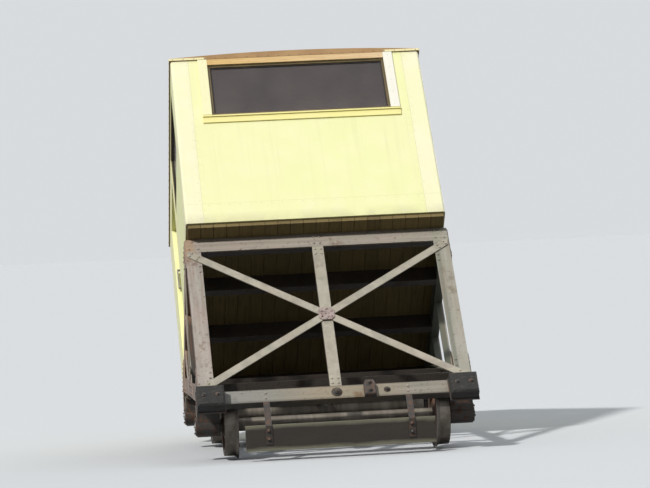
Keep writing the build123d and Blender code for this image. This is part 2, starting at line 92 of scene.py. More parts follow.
def level_of(above, y):
    """The height at y of the line that runs so far above the rails."""
    return y * math.tan(SLOPE) + above / math.cos(SLOPE) - RAIL_DROP


print("rails lie", round(RAIL_DROP, 3), "m below the wall's foot")

# %% [markdown]
# ## The camera
# The picture is taken from low on the incline, 28 m down the slope, and looks up at about 42 degrees.
# A long lens from the same spot keeps its perspective and fills the frame.

# %% Set up the camera
IMAGE_WIDTH = 650
FOCAL_PIXELS = 3120.0
CAMERA_PLACE = Vector((-2.81, -22.38, -20.49)) + HOME
CAMERA_YAW = math.radians(7.29)
CAMERA_PITCH = math.radians(41.75)
CAMERA_ROLL = math.radians(-7.69)

lens = bpy.data.cameras.new("long_lens")
lens.sensor_width = 36.0
lens.lens = lens.sensor_width * FOCAL_PIXELS / IMAGE_WIDTH
lens.clip_end = 2000.0
camera = bpy.data.objects.new("long_lens", lens)
camera.matrix_world = (
    Matrix.Translation(CAMERA_PLACE)
    @ Matrix.Rotation(-CAMERA_YAW, 4, "Z")
    @ Matrix.Rotation(math.pi / 2 + CAMERA_PITCH, 4, "X")
    @ Matrix.Rotation(CAMERA_ROLL, 4, "Z")
)
scene.collection.objects.link(camera)
scene.camera = camera
print("lens", round(lens.lens, 1), "mm")

# %% [markdown]
# ## Shader arithmetic
# Paint wears in patterns, and patterns are sums of noises, ramps and masks. A small class wraps a
# socket so that such a sum is written as arithmetic. A second class adds any node with one method,
# and a third adds the patterns that every finish of the car shares.

# %% Sockets that do arithmetic


def arithmetic(operation, reflected=False):
    """The method behind a Python operator: it adds a Math node of that operation."""

    def method(self, *others):
        values = (*others, self) if reflected else (self, *others)
        return self.maths(operation, *values)

    return method


class Wire:
    """An output socket. Arithmetic on it adds Math nodes."""

    __add__, __radd__ = arithmetic("ADD"), arithmetic("ADD", True)
    __sub__, __rsub__ = arithmetic("SUBTRACT"), arithmetic("SUBTRACT", True)
    __mul__, __rmul__ = arithmetic("MULTIPLY"), arithmetic("MULTIPLY", True)
    __truediv__, __pow__, __abs__ = map(arithmetic, ("DIVIDE", "POWER", "ABSOLUTE"))
    larger, floor = arithmetic("MAXIMUM"), arithmetic("FLOOR")

    def __init__(self, tree, socket):
        self.tree = tree
        self.socket = socket

    def maths(self, operation, *values, clamp=False):
        """One Math node, fed with wires or plain numbers."""
        node = self.tree.nodes.new("ShaderNodeMath")
        node.operation = operation
        node.use_clamp = clamp
        for place, value in zip(node.inputs, values):
            feed(self.tree, place, value)
        return Wire(self.tree, node.outputs[0])

    def clamped(self):
        return self.maths("ADD", self, 0.0, clamp=True)

    def above(self, edge, soft):
        """1 where this is over the edge, 0 below it, with a soft step between."""
        return self.maths("MULTIPLY", self - (edge - soft / 2), 1.0 / soft, clamp=True)

    def below(self, edge, soft):
        """1 where this is under the edge, 0 above it."""
        return self.maths("MULTIPLY", (edge + soft / 2) - self, 1.0 / soft, clamp=True)

    def near(self, centre, reach, soft):
        """1 within reach of the centre, fading to 0 over soft."""
        return abs(self - centre).below(reach, soft)


def feed(tree, place, value):
    """Links a wire to an input socket, or sets the socket's own value."""
    if isinstance(value, Wire):
        tree.links.new(value.socket, place)
    elif isinstance(value, (tuple, list)) and len(value) == 3 and place.type == "RGBA":
        place.default_value = (*value, 1.0)
    else:
        place.default_value = value

# %% Colours, and any node in one call


def colour(red, green, blue):
    """A colour from the 0 to 255 numbers of a paint chart, as linear light."""
    chart = (red / 255, green / 255, blue / 255)
    return tuple(c / 12.92 if c < 0.04045 else ((c + 0.055) / 1.055) ** 2.4 for c in chart)


class Nodes:
    """The node tree of a material or of the sky."""

    def __init__(self, tree):
        self.tree = tree
        tree.nodes.clear()

    def add(self, kind, settings=None, inputs=None, output=0):
        """Any node: its settings first, then the values or wires of its sockets."""
        node = self.tree.nodes.new(kind)
        for name, value in (settings or {}).items():
            setattr(node, name, value)
        for name, value in (inputs or {}).items():
            feed(self.tree, node.inputs[name], value)
        return Wire(self.tree, node.outputs[output]) if len(node.outputs) else node

    def parts(self, vector):
        """The X, Y and Z of a vector, as three wires."""
        node = self.add("ShaderNodeSeparateXYZ", inputs={"Vector": vector}).socket.node
        return [Wire(self.tree, socket) for socket in node.outputs]

    def mix(self, factor, under, over):
        """The colour under, covered by the colour over as far as the factor says."""
        return self.add("ShaderNodeMix", {"data_type": "RGBA"}, {0: factor, 6: under, 7: over}, 2)

    def layers(self, shade, *coats):
        """One colour after another over the first, each as far as its own mask says."""
        for mask, over in coats:
            shade = self.mix(mask, shade, over)
        return shade


# %% The patterns of a finish


class Finish(Nodes):
    """One finish of the car, as a material with procedural nodes."""

    def __init__(self, name):
        self.material = bpy.data.materials.new(name)
        self.material.use_nodes = True
        super().__init__(self.material.node_tree)
        self.place = self.add("ShaderNodeTexCoord", output="Object")
        self.rounded = None

    def axes(self):
        """The X, Y and Z of the place on the model."""
        return self.parts(self.place)

    def facing(self):
        """The three parts of the direction that the surface faces."""
        return self.parts(self.add("ShaderNodeNewGeometry", output="Normal"))

    def noise(self, scale, detail=3.0, stretch=(1, 1, 1), rough=0.55, shift=(0, 0, 0)):
        """A cloudy noise from 0 to 1. A stretch over 1 along an axis packs it tighter there."""
        mapped = self.add(
            "ShaderNodeMapping", inputs={"Vector": self.place, "Scale": stretch, "Location": shift}
        )
        return self.add(
            "ShaderNodeTexNoise",
            inputs={"Vector": mapped, "Scale": scale, "Detail": detail, "Roughness": rough},
        )

    def edges(self, radius):
        """1 along the edges of the piece, where paint chips first. Later reliefs round them too."""
        self.rounded = self.add("ShaderNodeBevel", {"samples": 4}, {"Radius": radius})
        flat = self.add("ShaderNodeNewGeometry", output="Normal")
        match = self.add(
            "ShaderNodeVectorMath", {"operation": "DOT_PRODUCT"}, {0: self.rounded, 1: flat}, "Value"
        )
        return ((1.0 - match) * 6.0).clamped()

    def corners(self, distance):
        """1 deep in the inner corners, where dirt gathers."""
        return 1.0 - self.add(
            "ShaderNodeAmbientOcclusion", {"samples": 6}, {"Distance": distance}, "AO"
        )

    def relief(self, height, depth, under=None):
        """A bump of that depth, in metres, on top of another bump."""
        inputs = {"Height": height, "Distance": depth, "Strength": 1.0}
        under = under or self.rounded
        if under:
            inputs["Normal"] = under
        return self.add("ShaderNodeBump", inputs=inputs)

    def finish(self, shade, roughness, **others):
        """Closes the material with one Principled shader. Underscores stand for spaces."""
        inputs = {name.replace("_", " "): value for name, value in others.items()}
        inputs.update({"Base Color": shade, "Roughness": roughness})
        shader = self.add("ShaderNodeBsdfPrincipled", inputs=inputs, output="BSDF")
        self.add("ShaderNodeOutputMaterial", inputs={"Surface": shader})
        return self.material


print("shader helpers ready")

# %% [markdown]
# ## The studio
# The car stands on its slope, so the floor slopes too and passes just under the wheel flanges. It is
# plain and pale, has one face, and is dark for bounced light, so that the underside keeps the deep
# shade of the photograph. A low sun from behind the camera lights the end wall.

# %% Floor
FLANGE_RADIUS, FLOOR_GAP, FLOOR_SIZE = 0.320, 0.004, 900.0
FLOOR_SEEN, FLOOR_BOUNCE = (0.551, 0.565, 0.576), (0.05, 0.05, 0.05)

bm = bmesh.new()
under_wheels = on_slope(2.0, TREAD_RADIUS - FLANGE_RADIUS - FLOOR_GAP) + HOME
bmesh.ops.create_grid(
    bm, x_segments=1, y_segments=1, size=FLOOR_SIZE,
    matrix=Matrix.Translation(under_wheels) @ Matrix.Rotation(SLOPE, 4, "X"),
)
floor_mesh = bpy.data.meshes.new("sloping_floor")
bm.to_mesh(floor_mesh)
bm.free()
floor = bpy.data.objects.new("sloping_floor", floor_mesh)
scene.collection.objects.link(floor)


def seen_directly(nodes):
    """1 for camera, glossy and transmission rays, 0 for bounced light."""
    camera_ray, glossy, through = [
        nodes.add("ShaderNodeLightPath", output=f"Is {kind} Ray")
        for kind in ("Camera", "Glossy", "Transmission")
    ]
    return camera_ray.larger(glossy).larger(through)


ground = Finish("pale_floor")
ground_shade = ground.mix(seen_directly(ground), FLOOR_BOUNCE, FLOOR_SEEN)
one_sided = ground.add("ShaderNodeMixShader", inputs={
    0: ground.add("ShaderNodeNewGeometry", output="Backfacing"),
    1: ground.add("ShaderNodeBsdfDiffuse", inputs={"Color": ground_shade}),
    2: ground.add("ShaderNodeBsdfTransparent"),
})
ground.add("ShaderNodeOutputMaterial", inputs={"Surface": one_sided})
floor_mesh.materials.append(ground.material)

# %% Sky and lamps
SKY_SEEN, SKY_LIGHT = (0.69, 0.71, 0.735), (0.90, 0.95, 1.0)
LAMP_DISTANCE = 20.0

sky = bpy.data.worlds.new("studio")
sky.use_nodes = True
scene.world = sky
air = Nodes(sky.node_tree)
upwards = air.parts(air.add("ShaderNodeTexCoord", output="Generated"))[2]
dome = air.add("ShaderNodeBackground", inputs={
    "Color": SKY_LIGHT, "Strength": upwards.above(0.02, 0.35) * 0.52 + 0.035,
})
plain = air.add("ShaderNodeBackground", inputs={"Color": SKY_SEEN, "Strength": 1.0})
choice = air.add("ShaderNodeMixShader", inputs={0: seen_directly(air), 1: dome, 2: plain})
air.add("ShaderNodeOutputWorld", inputs={"Surface": choice})

# Each row has the lamp's name, where it stands round the car, its height, power, softness and tint.
lamps = (
    ("sun", -30.0, 15.0, 2.80, 4.0, (1.0, 0.98, 0.95)),
    ("high_fill", 50.0, 62.0, 0.50, 40.0, (0.95, 0.97, 1.0)),
    ("back_fill", 138.0, 30.0, 2.8, 40.0, (1.0, 0.98, 0.96)),
)
for name, round_car, height, power, softness, tint in lamps:
    lamp = bpy.data.lights.new(name, "SUN")
    lamp.energy = power
    lamp.angle = math.radians(softness)
    lamp.color = tint
    turn, lift = math.radians(round_car), math.radians(height)
    towards = Vector((
        math.sin(turn) * math.cos(lift), -math.cos(turn) * math.cos(lift), math.sin(lift),
    ))
    holder = bpy.data.objects.new(name, lamp)
    holder.rotation_mode = "QUATERNION"
    holder.rotation_quaternion = towards.to_track_quat("Z", "Y")
    holder.location = towards * LAMP_DISTANCE
    scene.collection.objects.link(holder)
scene.view_settings.view_transform = "Standard"
print("lamps", [row[0] for row in lamps])

# %% [markdown]
# ## Cream paint
# The cabin is sheet metal in thick cream gloss that has stood in the sun for years. It is a little
# greener in the middle of each sheet and paler at its edges, with faint dirty runs below the
# window, dirt along the foot and chips along the edges. Each of these is one mask.

# %% Cream paint
RUST, GRIME = colour(112, 70, 44), colour(140, 128, 88)
END_RETURN, BELT_HEIGHT = 0.170, 0.235
SEAM_WIDTH = (0.0010, 0.0025)


def cream(name, base, green, pale, wear=1.0, bleached=None):
    """Weathered gloss paint on sheet metal, bleached towards the right if a colour says so."""
    paint = Finish(name)
    x, y, z = paint.axes()
    height, side = z - HOME.z, abs(x)
    cloud = paint.noise(0.9, 2.0)
    blotch = paint.noise(5.0, 4.0, shift=(3.0, 1.0, 7.0))
    shade = paint.layers(
        base, (cloud.above(0.52, 0.30) * 0.6, green), (blotch.above(0.60, 0.25) * 0.5, pale)
    )
    if bleached:
        shade = paint.mix(x.above(0.0, 0.8), shade, bleached)
    runs = paint.noise(9.0, 3.0, stretch=(2.4, 2.4, 0.09)).above(0.64, 0.20)
    below_sill = height.below(1.36, 0.10) * height.above(0.35, 1.3)
    splash = height.below(0.07, 0.13) * blotch.above(0.42, 0.30)
    from_middle = abs(y - HOME.y - CABIN_LENGTH / 2)
    end_seam = side.near(SEAM_X, *SEAM_WIDTH) * side.below(HALF_CABIN - 0.004, 0.002)
    side_seam = from_middle.near(CABIN_LENGTH / 2 - END_RETURN, *SEAM_WIDTH)
    belt_seam = height.near(BELT_HEIGHT + 0.018, *SEAM_WIDTH)
    seams = belt_seam.larger(end_seam).larger(side_seam * side.above(SEAM_X, 0.01))
    corner_dirt = paint.corners(0.05).above(0.40, 0.5)
    chips = paint.edges(0.004) * paint.noise(28.0, 4.0).above(0.63, 0.08)
    shade = paint.layers(
        shade,
        (runs * below_sill * (0.07 * wear), GRIME),
        (splash * (0.30 * wear), GRIME),
        (seams * 0.38, GRIME),
        (corner_dirt * (0.28 * wear), GRIME),
        (chips * (0.80 * wear), RUST),
    )
    waves = paint.relief(paint.noise(2.6, 1.0), 0.006)
    peel = paint.relief(paint.noise(260.0, 2.0), 0.0003, waves)
    gloss = 0.46 + blotch * 0.16 + chips * 0.3
    return paint.finish(shade, gloss, Normal=peel, Specular_IOR_Level=0.35)


wall_paint = cream("cream_paint", colour(246, 244, 188), colour(241, 246, 178), colour(249, 246, 202))
corner_paint = cream(
    "pale_cream_paint", colour(249, 245, 206), colour(245, 246, 194), colour(252, 248, 218)
)
sill_paint = cream(
    "warm_cream_paint", colour(250, 240, 162), colour(246, 241, 160), colour(252, 244, 176)
)
door_paint = cream(
    "door_paint", colour(238, 234, 164), colour(232, 238, 156), colour(244, 240, 182), wear=1.3
)
trim_paint = cream(
    "white_trim_paint", colour(248, 243, 196), colour(245, 243, 188), colour(250, 246, 206),
    wear=1.1, bleached=colour(246, 243, 228),
)

# %% [markdown]
# ## The tan board over the window
# The board under the roof edge was stained tan. The sun has bleached its right end towards pink.

# %% Tan board
board = Finish("tan_board")
bleach = ((board.axes()[0] + 0.75) * 0.55).clamped()
grain = board.noise(12.0, 5.0, stretch=(0.25, 1.0, 6.0))
shade = board.layers(
    colour(226, 190, 122),
    (bleach, colour(230, 202, 160)),
    (grain.above(0.50, 0.3) * 0.4, colour(168, 126, 70)),
    (board.edges(0.004) * 0.5, colour(120, 88, 52)),
)
tan_board = board.finish(shade, 0.5 + grain * 0.2, Normal=board.relief(grain, 0.0008))
print("paints of the cabin ready, the last is", tan_board.name)

# %% [markdown]
# ## Marks on the frame
# Each steel piece has marks of its own place. The outer sides of the posts have lost their paint:
# they are tan at the top and brown lower down. Rust runs down from the top joints, the foot beam is
# oily along its edges and the lips of the guard plate are rubbed bright. One function paints the
# marks of each kind of piece over the shade that it is given.

# %% Marks on the frame
BARE_RUST, DARK_RUST = colour(120, 84, 60), colour(74, 52, 38)
# Soot black and oily brown are dirt colours; inside the frame they also paint shade.
SOOT_AND_SHADE, OILY_BROWN_AND_SHADE = colour(30, 28, 24), colour(58, 48, 38)


def post_marks(paint, shade, brushed, dull):
    """Bare brown outer sides, a tan corner at the top left and moss on the right post."""
    x, y, z = paint.axes()
    height = z - HOME.z
    outer = abs(paint.facing()[0]).above(0.6, 0.3) * abs(x).above(HALF_FRAME - 0.004, 0.004)
    face = 1.0 - outer
    brown = paint.layers(
        colour(84, 62, 46),
        (height.above(-0.6, 0.9), colour(138, 104, 74)),
        (brushed, paint.mix(dull, DARK_RUST, BARE_RUST)),
    )
    left_over = paint.noise(3.4, 5.0, shift=(5.0, 3.0, 8.0), rough=0.62).above(0.60, 0.08)
    tan_corner = x.below(-1.205, 0.05) * height.above(-0.30, 0.12) * face
    # Painted shade: a darker band along the inner edge of the right post, below its top joint.
    shaded_edge = x.near(1.166, 0.020, 0.016) * height.below(-0.24, 0.03) * face
    runs = paint.noise(24.0, 3.0, stretch=(1.0, 1.0, 0.05), shift=(6.0, 6.0, 0.0)).above(0.54, 0.12)
    below_joint = height.below(-0.27, 0.04) * height.above(-1.05, 1.4)
    return paint.layers(
        shade,
        (outer * (0.92 - left_over * 0.7), brown),
        (tan_corner * (0.30 + paint.noise(2.2, 3.0) * 0.5), colour(176, 138, 100)),
        (shaded_edge * 0.72, colour(84, 82, 72)),
        (runs * below_joint * 0.42, BARE_RUST),
        (x.above(1.12, 0.06) * face * 0.30, colour(150, 160, 138)),
    )


def foot_marks(paint, shade, brushed, dull):
    """The foot beam is bluish at its left end, brownish in its middle and oily along its edges."""
    x, y, z = paint.axes()
    height = z - HOME.z
    oily = height.below(FOOT_LOW + 0.018, 0.020).larger(height.above(FOOT_TOP - 0.008, 0.010))
    shade = paint.layers(
        shade,
        (x.below(-0.62, 0.7) * 0.55, colour(124, 130, 128)),
        (abs(x - 0.05).below(0.45, 0.5) * brushed * 0.7, colour(156, 136, 98)),
        (oily * 0.45, OILY_BROWN_AND_SHADE),
    )
    return post_marks(paint, shade, brushed, dull)


def guard_marks(paint, shade, brushed, dull):
    """The upper and lower edges of the guard plate are rubbed bright by snow and stones."""
    x, y, z = paint.axes()
    above_rails = (z - HOME.z + RAIL_DROP) * SQUARE.z + (y - HOME.y) * SQUARE.y
    ragged = above_rails + (dull - 0.5) * 0.060
    rubbed = ragged.below(0.086, 0.030).larger(ragged.above(0.272, 0.030))
    return paint.mix(rubbed * (0.20 + brushed * 0.9).clamped(), shade, colour(150, 148, 126))


print("marks ready for the posts, the foot beam and the guard plate")

# %% [markdown]
# ## Frame paint
# The wedge frame is steel under a thin warm grey paint. Rust comes up through it in freckles and
# along the edges. Behind its downhill face the frame is painted black: soot and oil, and also
# painted shade for the deep shade inside the wedge.

# %% Frame paint
UPHILL_FACE = CABIN_LENGTH - 0.085


def steel_paint(name, base, rust_edge=0.63, streak=(1, 1, 1), marks=None, depth=1.0):
    """Thin worn paint over rusting steel, with the marks of its own place if it has any."""
    paint = Finish(name)
    x, y, z = paint.axes()
    uphill = y - HOME.y
    warm, cool, dark = [
        tuple(c * f for c, f in zip(base, factors))
        for factors in ((1.06, 0.94, 0.90), (0.90, 0.93, 0.88), (0.55, 0.55, 0.55))
    ]
    light = tuple(min(1.0, c * 1.22) for c in base)
    brushed = paint.noise(7.0, 4.0, stretch=streak, shift=(1.7, 0.4, 5.1))
    dull = paint.noise(11.0, 5.0, stretch=streak, shift=(4.0, 9.0, 2.0))
    freckles = paint.noise(34.0, 5.0, rough=0.7).above(rust_edge, 0.07)
    patches = paint.noise(4.2, 5.0, shift=(8.0, 2.0, 3.0), rough=0.65).above(rust_edge + 0.02, 0.10)
    edge = paint.edges(0.006) * paint.noise(18.0, 3.0).above(0.46, 0.16)
    corner = paint.corners(0.07).above(0.45, 0.5) * 0.55
    rusty = freckles.larger(patches).larger(edge).larger(corner)
    # Past the downhill face the steel is painted soot black: soot and oil, and painted shade for the
    # deep shade inside the wedge.
    inside = uphill.above(FACE_Y + 0.016, 0.008) * uphill.below(UPHILL_FACE, 0.01)
    behind = inside * abs(x).below(HALF_FRAME - 0.012, 0.006)
    shade = paint.layers(
        paint.mix(0.5, base, warm),
        (paint.noise(2.2, 3.0).above(0.48, 0.25), cool),
        (brushed.above(0.52, 0.22) * 0.55, light),
        (dull.above(0.56, 0.18) * 0.40, dark),
        (rusty * (0.78 * depth), paint.mix(paint.noise(22.0, 4.0), DARK_RUST, BARE_RUST)),
        (behind * 0.93, paint.mix(dull, SOOT_AND_SHADE, OILY_BROWN_AND_SHADE)),
    )
    if marks:
        shade = marks(paint, shade, brushed, dull)
    bump = paint.relief(rusty * 0.6 + paint.noise(90.0, 3.0) * 0.5, 0.0012)
    return paint.finish(shade, 0.52 + rusty * 0.32, Normal=bump)


UPRIGHT, LEVEL = (1, 1, 0.3), (0.12, 1, 6)
frame_paint = steel_paint(
    "grey_frame_paint", colour(168, 159, 150), streak=UPRIGHT, marks=post_marks
)
beam_paint = steel_paint("grey_beam_paint", colour(168, 159, 147), streak=LEVEL, marks=post_marks)
foot_paint = steel_paint("foot_beam_paint", colour(146, 139, 127), streak=LEVEL, marks=foot_marks)
brace_paint = steel_paint("light_brace_paint", colour(172, 165, 150), rust_edge=0.66, depth=0.6)
# The members inside the wedge get a dark base: grime, and painted shade for the shade they stand in
# under the cabin.
shaded_inner_paint = steel_paint("dark_shaded_inner_paint", colour(78, 70, 62), rust_edge=0.56)
guard_paint = steel_paint(
    "dark_guard_paint", colour(50, 52, 40), rust_edge=0.60, streak=(0.2, 1, 1), marks=guard_marks
)
plate_paint = steel_paint("pinkish_plate_paint", colour(172, 156, 152), rust_edge=0.57)
print("frame finishes ready")

# %% [markdown]
# ## Iron, wheels and rubber
# Everything near the rails is black with oil and brake dust. The wheels show their age in rings:
# the tread and the flange are polished by the rail, the rim is dark, and the web is rusty. A ring
# is a range of distances from the axle, so the finish measures that distance at each point.

# %% Iron


def iron(name, base, dust=0.5, gloss=0.50):
    """Black iron with rust in it and pale dust on the faces that look up."""
    metal = Finish(name)
    cloud = metal.noise(6.0, 4.0)
    rust = metal.noise(26.0, 5.0, rough=0.7, shift=(2.0, 6.0, 1.0)).above(0.55, 0.14)
    lying = metal.facing()[2].above(0.55, 0.6) * cloud.above(0.40, 0.4)
    shade = metal.layers(
        tuple(c * 0.6 for c in base),
        (cloud, tuple(c * 1.5 for c in base)),
        (rust * 0.55, BARE_RUST),
        (lying * dust, colour(124, 112, 94)),
        (metal.edges(0.004) * 0.35, colour(128, 116, 104)),
    )
    bump = metal.relief(metal.noise(120.0, 3.0) + rust * 0.6, 0.0010)
    return metal.finish(shade, gloss + rust * 0.25 + lying * 0.2, Normal=bump)


dark_iron = iron("dark_iron", colour(54, 50, 46))
oily_iron = iron("oily_iron", colour(36, 34, 32), 0.3, 0.38)
rail_steel = iron("door_rail_steel", colour(150, 150, 148), 0.15, 0.34)
bench_iron = iron("bench_iron", colour(56, 66, 58), 0.25, 0.42)
print("iron finishes ready")

# %% Wheels
WHEEL_X, HALF_RIM = 1.0, 0.0635
HUB_RADIUS, WEB_RADIUS, RUBBED_RADIUS = 0.125, 0.238, 0.306


def rolling(name, axle):
    """Wheel steel in rings: polished tread and flange, dark rim, rusty web, oily hub."""
    metal = Finish(name)
    x, y, z = metal.axes()
    centre = axle + HOME
    radius = ((y - centre.y) ** 2.0 + (z - centre.z) ** 2.0) ** 0.5
    side = abs(abs(x) - WHEEL_X).above(HALF_RIM, 0.0015)
    polished = radius.above(TREAD_RADIUS - 0.006, 0.004) * (1.0 - side)
    hub = radius.below(HUB_RADIUS, 0.03)
    rust = metal.noise(24.0, 5.0, rough=0.68).above(0.44, 0.25)
    cloud = metal.noise(9.0, 4.0).above(0.5, 0.3)
    shade = metal.layers(
        colour(64, 56, 50),
        (rust, BARE_RUST),
        (radius.above(WEB_RADIUS, 0.008) * 0.75, colour(52, 48, 45)),
        (hub * 0.8, SOOT_AND_SHADE),
        (polished * 0.94, metal.mix(cloud, colour(128, 121, 112), colour(92, 85, 76))),
        (side * radius.above(RUBBED_RADIUS, 0.006) * 0.75, colour(150, 144, 136)),
    )
    rings = metal.relief(radius.maths("SINE", radius * 900.0) * hub, 0.0003)
    bump = metal.relief(metal.noise(110.0, 3.0) + rust * 0.5, 0.0009, rings)
    gloss = 0.62 - polished * 0.18 + rust * 0.15 * (1.0 - polished)
    return metal.finish(shade, gloss, Metallic=polished * 0.60, Normal=bump)


low_wheel_steel = rolling("low_wheel_steel", LOW_AXLE)
high_wheel_steel = rolling("high_wheel_steel", HIGH_AXLE)
print("wheel finishes ready")

# %% Axles and rubber
axle = Finish("axle_steel")
streaks = axle.noise(5.0, 4.0, stretch=(6.0, 0.6, 0.6))
wiped = axle.noise(3.0, 3.0, stretch=(2.2, 0.2, 0.2)).above(0.50, 0.25)
shade = axle.layers(
    colour(96, 88, 78), (streaks, colour(168, 160, 146)), (wiped * 0.5, colour(70, 58, 48))
)
axle_steel = axle.finish(
    shade, 0.38 + streaks * 0.25, Metallic=wiped * -0.3 + 0.45, Normal=axle.relief(streaks, 0.0006)
)

rubber = Finish("black_rubber")
scuffs = rubber.noise(16.0, 5.0, stretch=(1, 1, 3), rough=0.7).above(0.58, 0.10)
shade = rubber.layers(
    colour(20, 20, 18),
    (rubber.noise(3.5, 3.0).above(0.5, 0.4) * 0.6, colour(38, 37, 33)),
    (scuffs * 0.55, colour(92, 86, 78)),
    (rubber.edges(0.010) * 0.4, colour(84, 78, 72)),
)
bump = rubber.relief(rubber.noise(70.0, 4.0) + scuffs * 0.5, 0.0012)
black_rubber = rubber.finish(shade, 0.72 + scuffs * 0.15, Normal=bump)
print("axle and rubber finishes ready")

# %% [markdown]
# ## Timber
# The floor is planked along the car and the benches are slatted across it. Grain is a noise that is
# stretched along the board. Each board also has a tone of its own: the number of the board, from
# its place, goes into a random value.

# %% Timber


def timber(name, board_width, board_axis, grain_axis, dark, light, worn, varnish):
    """Boards that differ in tone, with grain along one axis."""
    wood = Finish(name)
    number = (wood.axes()[board_axis] / board_width).floor()
    tone = wood.add("ShaderNodeTexWhiteNoise", {"noise_dimensions": "1D"}, {"W": number}, "Value")
    stretch = [9.0, 9.0, 9.0]
    stretch[grain_axis] = 0.35
    grain = wood.noise(7.0, 6.0, stretch=stretch, rough=0.62)
    figure = wood.noise(1.6, 3.0, stretch=stretch, shift=(4.0, 1.0, 2.0))
    stain = wood.noise(3.0, 4.0, shift=(1.0, 7.0, 3.0)).above(0.52, 0.3)
    shade = wood.layers(
        dark,
        (tone * 0.55 + figure * 0.45, light),
        (grain.above(0.56, 0.14) * 0.55, tuple(c * 0.45 for c in dark)),
        (stain * 0.40, worn),
        (wood.edges(0.004) * 0.5, worn),
    )
    gloss = (0.72 - varnish * 0.38) + stain * 0.15
    return wood.finish(shade, gloss, Normal=wood.relief(grain, 0.0010))


PLANKS = 20
PLANK_PITCH = 2 * (HALF_CABIN - 0.020) / PLANKS
SLAT_PITCH = 0.130
floor_timber = timber(
    "floor_timber", PLANK_PITCH, 0, 1,
    colour(102, 87, 46), colour(138, 119, 70), colour(146, 128, 88), 0.1,
)
bench_wood = timber(
    "bench_wood", SLAT_PITCH, 1, 0,
    colour(122, 74, 38), colour(168, 108, 58), colour(186, 140, 88), 0.8,
)
print("timber finishes ready")

# %% [markdown]
# ## Windows
# The panes look dark from below: they are painted a dark grey-violet, which is painted shade for
# the inside of the cabin under its roof, with no lamp. The glass lets light through, has the gloss
# of glass and a film of dust that is thicker at the foot of each pane.

# %% Glass and sashes
PANE_FOOT = 1.52

glass = Finish("window_glass")
height = glass.axes()[2] - HOME.z
film = glass.noise(4.0, 4.0, stretch=(1, 1, 0.5)).above(0.45, 0.5)
dust = film * 0.25 + height.below(PANE_FOOT, 0.25) * film * 0.35
# The glass's own dark grey-violet is painted shade for the dim cabin inside; the paler colour is the
# dust film.
shade = glass.mix(dust, colour(92, 85, 86), colour(128, 119, 112))
window_glass = glass.finish(
    shade, 0.04 + dust * 0.12, Alpha=0.50 + dust * 0.22, Specular_IOR_Level=0.6, IOR=1.5
)

sash = Finish("sash_paint")
cloud = sash.noise(7.0, 4.0)
chips = sash.edges(0.003) * sash.noise(30.0, 4.0).above(0.50, 0.12)
shade = sash.layers(
    colour(86, 73, 43),
    (cloud.above(0.5, 0.4), colour(112, 94, 58)),
    (chips * 0.8, colour(146, 122, 82)),
    (sash.corners(0.03).above(0.4, 0.5) * 0.5, colour(34, 30, 20)),
)
bump = sash.relief(sash.noise(60.0, 3.0), 0.0006)
sash_paint = sash.finish(shade, 0.42 + cloud * 0.2, Normal=bump)
print("window finishes ready")

# %% [markdown]
# ## The roof
# The roof is a shallow arch of boards under painted canvas, tan like the header board, with long
# wrinkles, dirt that has settled in them and a paler crown where rain has washed it. The edge that
# is turned down over the corners and the sides was painted cream along with the walls.

# %% Roof
CORNER_X, ROOF_EDGE_TOP = 0.925, 2.2795

canvas = Finish("roof_canvas")
x, y, z = canvas.axes()
wrinkles = canvas.noise(2.4, 4.0, stretch=(0.8, 2.2, 1.0), rough=0.5)
mottle = canvas.noise(3.0, 5.0, shift=(2.0, 2.0, 5.0))
puddles = canvas.noise(1.9, 3.0, shift=(7.0, 1.0, 3.0), rough=0.45)
rim = puddles.above(0.52, 0.04) * puddles.below(0.60, 0.06)
up = canvas.facing()[2]
turned_down = up.below(0.5, 0.2) * up.above(-0.5, 0.2)
over_corner = abs(x).above(CORNER_X, 0.03) * (z - HOME.z).below(ROOF_EDGE_TOP, 0.002)
shade = canvas.layers(
    colour(176, 142, 88),
    (mottle.above(0.5, 0.4), colour(200, 170, 118)),
    (abs(x).below(0.6, 1.2) * 0.35, colour(214, 192, 148)),
    (wrinkles.below(0.44, 0.12) * 0.26, colour(118, 98, 66)),
    (puddles.above(0.54, 0.10) * 0.20, colour(150, 134, 104)),
    (rim * 0.20, colour(110, 88, 56)),
    (canvas.edges(0.006) * 0.5, colour(132, 104, 66)),
    (canvas.corners(0.08).above(0.3, 0.5) * 0.5, colour(92, 78, 54)),
    (turned_down * 0.55 * (1.0 - over_corner), colour(150, 104, 62)),
    (turned_down * over_corner * (0.94 - mottle * 0.2), colour(248, 240, 186)),
)
weave = canvas.relief(canvas.noise(340.0, 1.0), 0.0003, canvas.relief(wrinkles, 0.006))
roof_canvas = canvas.finish(shade, 0.66 + mottle * 0.15, Normal=weave)
print("roof finish ready")

# %% [markdown]
# ## Give every solid its finish
# The solids keep their meshes and only get a material. No rolled or folded edge is perfectly sharp,
# so most finishes turn the light along their edges, with a Bevel node that feeds the bump.

